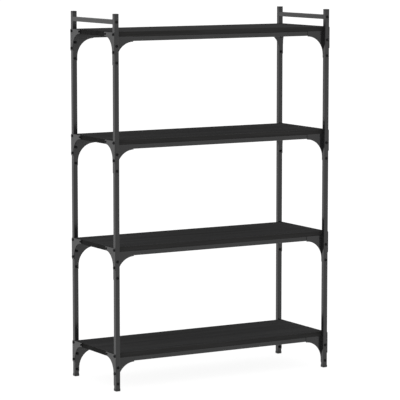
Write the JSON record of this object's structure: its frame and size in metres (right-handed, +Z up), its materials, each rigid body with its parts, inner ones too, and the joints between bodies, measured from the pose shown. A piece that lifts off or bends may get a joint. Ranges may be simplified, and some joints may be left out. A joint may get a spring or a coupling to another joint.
{
  "type": "bookcase",
  "caption": "Open-backed bookcase with a slim black metal frame of square posts, dark wood boards, arched corner gussets and low end rods above the top board.",
  "frame": {"origin": "on the floor, below the middle of the bookcase", "axes": "+X to the right seen from the front, +Y to the rear, +Z up"},
  "size_m": [0.8084, 0.3056, 1.1955],
  "materials": {
    "black_steel": "black powder coat, satin",
    "black_wood": "black-stained board with a faint grain along its length",
    "black_plastic": "moulded, matt",
    "dark_fastener": "black oxide, oiled"
  },
  "bodies": {
    "root": {"post_front_left": "black_steel", "post_front_right": "black_steel", "post_rear_left": "black_steel", "post_rear_right": "black_steel", "post_cap_front_left": "black_plastic", "post_cap_front_right": "black_plastic", "post_cap_rear_left": "black_plastic", "post_cap_rear_right": "black_plastic", "foot_front_left": "black_plastic", "foot_front_right": "black_plastic", "foot_rear_left": "black_plastic", "foot_rear_right": "black_plastic", "board_1": "black_wood", "board_2": "black_wood", "board_3": "black_wood", "board_4": "black_wood", "front_rail_1": "black_steel", "front_rail_2": "black_steel", "front_rail_3": "black_steel", "front_rail_4": "black_steel", "rear_rail_1": "black_steel", "rear_rail_2": "black_steel", "rear_rail_3": "black_steel", "rear_rail_4": "black_steel", "side_bracket_front_left_1": "black_steel", "side_bracket_front_left_2": "black_steel", "side_bracket_front_left_3": "black_steel", "side_bracket_front_left_4": "black_steel", "side_bracket_front_right_1": "black_steel", "side_bracket_front_right_2": "black_steel", "side_bracket_front_right_3": "black_steel", "side_bracket_front_right_4": "black_steel", "side_bracket_rear_left_1": "black_steel", "side_bracket_rear_left_2": "black_steel", "side_bracket_rear_left_3": "black_steel", "side_bracket_rear_left_4": "black_steel", "side_bracket_rear_right_1": "black_steel", "side_bracket_rear_right_2": "black_steel", "side_bracket_rear_right_3": "black_steel", "side_bracket_rear_right_4": "black_steel", "top_rod_left": "black_steel", "top_rod_right": "black_steel", "rail_bolts": "dark_fastener", "rail_nuts": "dark_fastener", "bracket_bolts": "dark_fastener", "bracket_inserts": "dark_fastener", "rod_bolts": "dark_fastener", "board_screws": "dark_fastener"}
  },
  "joints": []
}
